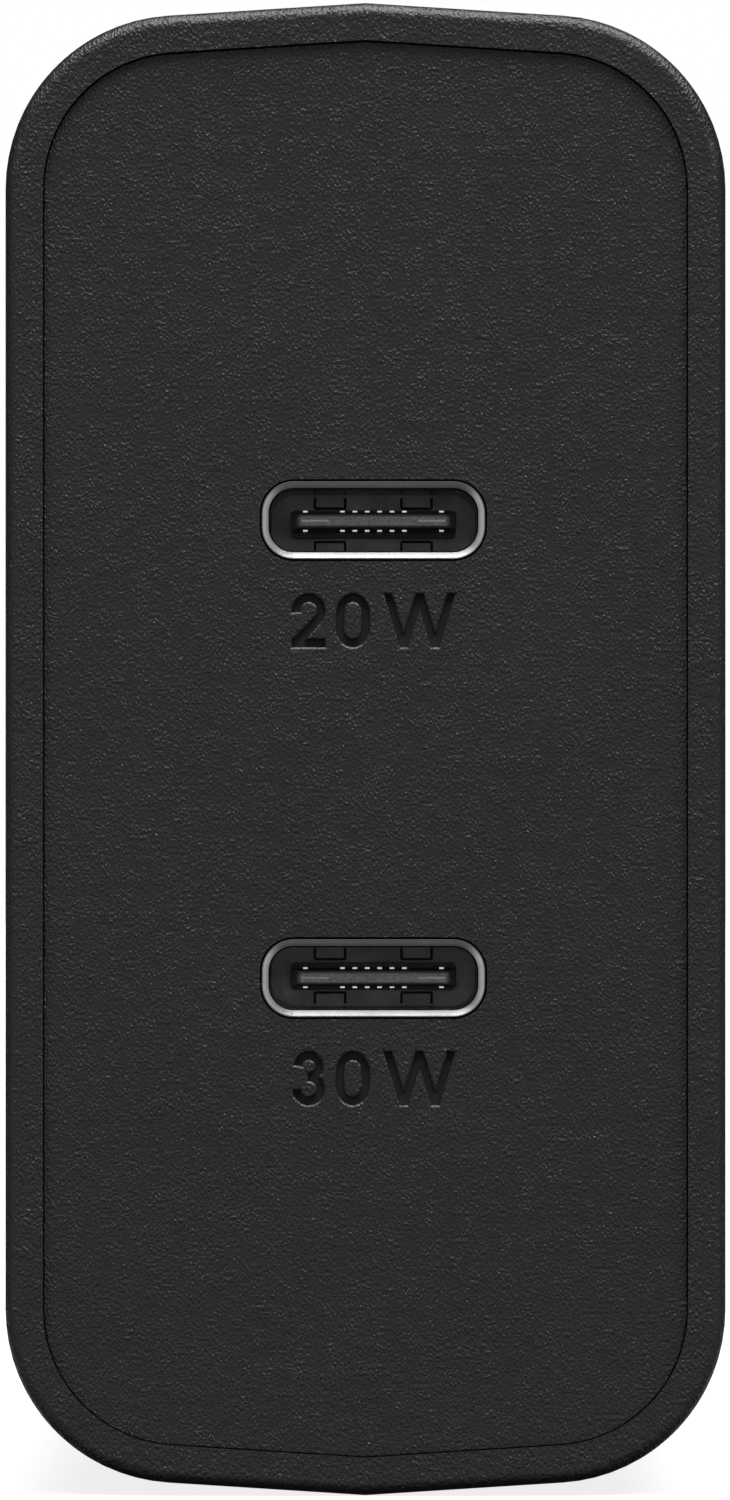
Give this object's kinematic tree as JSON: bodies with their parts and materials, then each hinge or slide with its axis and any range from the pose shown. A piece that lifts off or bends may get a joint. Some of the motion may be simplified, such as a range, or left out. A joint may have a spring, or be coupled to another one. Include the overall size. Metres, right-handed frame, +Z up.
{
  "type": "usb wall charger",
  "caption": "Upright slab-shaped mains charger with rounded corners, a recessed front panel holding two small ports with power markings, and folding blades at the rear.",
  "frame": {"origin": "centre of the rear face, which meets the outlet's cover plate", "axes": "+Z up along the casing's height, +Y out of the rear face towards the wall, so the ports face -Y; +X to the right seen from the ports' side"},
  "size_m": [0.029, 0.055, 0.0602],
  "materials": {
    "casing_plastic": "fine-grained, with a faint metallic fleck",
    "panel_plastic": "fine-grained, with a faint metallic fleck",
    "barrel_plastic": "smooth moulded",
    "black_plastic": "smooth moulded",
    "blade_metal": "nickel-plated, lightly brushed",
    "tongue_plastic": "glass-filled, satin",
    "dark_steel": "blackened, satin",
    "spring_steel": "rolled",
    "phosphor_bronze": "rolled strip",
    "shell_steel": "drawn, satin",
    "contact_gold": "gold plated",
    "screw_steel": "zinc plated",
    "circuit_board": "green solder mask",
    "pin_metal": "tinned",
    "ferrite": "sintered, matt",
    "copper": "enamelled wire",
    "bobbin_plastic": "moulded phenolic",
    "tape": "polyester tape",
    "can_sleeve": "heat-shrunk sleeve",
    "polymer_can": "drawn aluminium",
    "film_box": "moulded box",
    "disc_blue": "dipped resin",
    "disc_green": "dipped resin",
    "fuse_body": "ceramic tube",
    "spreader": "bright rolled",
    "gap_pad": "soft silicone",
    "clear_sheet": "thin polyester sheet",
    "wire_black": "insulation",
    "wire_white": "insulation"
  },
  "bodies": {
    "casing": {"housing_sleeve": "casing_plastic", "front_panel": "panel_plastic", "rear_cover": "casing_plastic", "pivot_retainer": "black_plastic", "retainer_screws": "screw_steel", "detent_spring": "spring_steel", "contact_spring_neutral": "phosphor_bronze", "contact_spring_line": "phosphor_bronze", "usb_board": "circuit_board", "board_link_pins": "pin_metal", "board_link_strip": "black_plastic", "port_controllers": "black_plastic", "buck_inductors": "ferrite", "chip_capacitors": "fuse_body", "main_board": "circuit_board", "transformer_core": "ferrite", "transformer_bobbin": "bobbin_plastic", "transformer_pins": "pin_metal", "transformer_winding": "copper", "transformer_tape": "tape", "bulk_capacitors": "can_sleeve", "output_capacitors": "polymer_can", "bridge_rectifier": "black_plastic", "safety_capacitor": "film_box", "choke_core": "ferrite", "choke_windings": "copper", "choke_base": "bobbin_plastic", "fuse_link": "fuse_body", "isolation_capacitor": "disc_blue", "inrush_thermistor": "disc_green", "primary_switch": "black_plastic", "primary_controller": "black_plastic", "sync_rectifier": "black_plastic", "signal_coupler": "black_plastic", "heat_spreader": "spreader", "thermal_pad": "gap_pad", "insulation_sheet": "clear_sheet", "neutral_lead": "wire_white", "line_lead": "wire_black", "usb_shell_upper": "shell_steel", "usb_tongue_upper": "tongue_plastic", "usb_base_upper": "black_plastic", "usb_contacts_upper": "contact_gold", "usb_mid_plate_upper": "shell_steel", "usb_ground_plate_upper": "dark_steel", "usb_shell_lower": "shell_steel", "usb_tongue_lower": "tongue_plastic", "usb_base_lower": "black_plastic", "usb_contacts_lower": "contact_gold", "usb_mid_plate_lower": "shell_steel", "usb_ground_plate_lower": "dark_steel"},
    "prongs": {"prong_barrel": "barrel_plastic", "blade_neutral": "blade_metal", "blade_line": "blade_metal"}
  },
  "joints": [
    {"name": "prong_fold", "type": "hinge", "parent": "casing", "child": "prongs", "pos_m": [0, -0.0036, 0.0103], "axis": [1, 0, 0], "range_deg": [0, 90], "deforming": ["detent_spring"]}
  ]
}
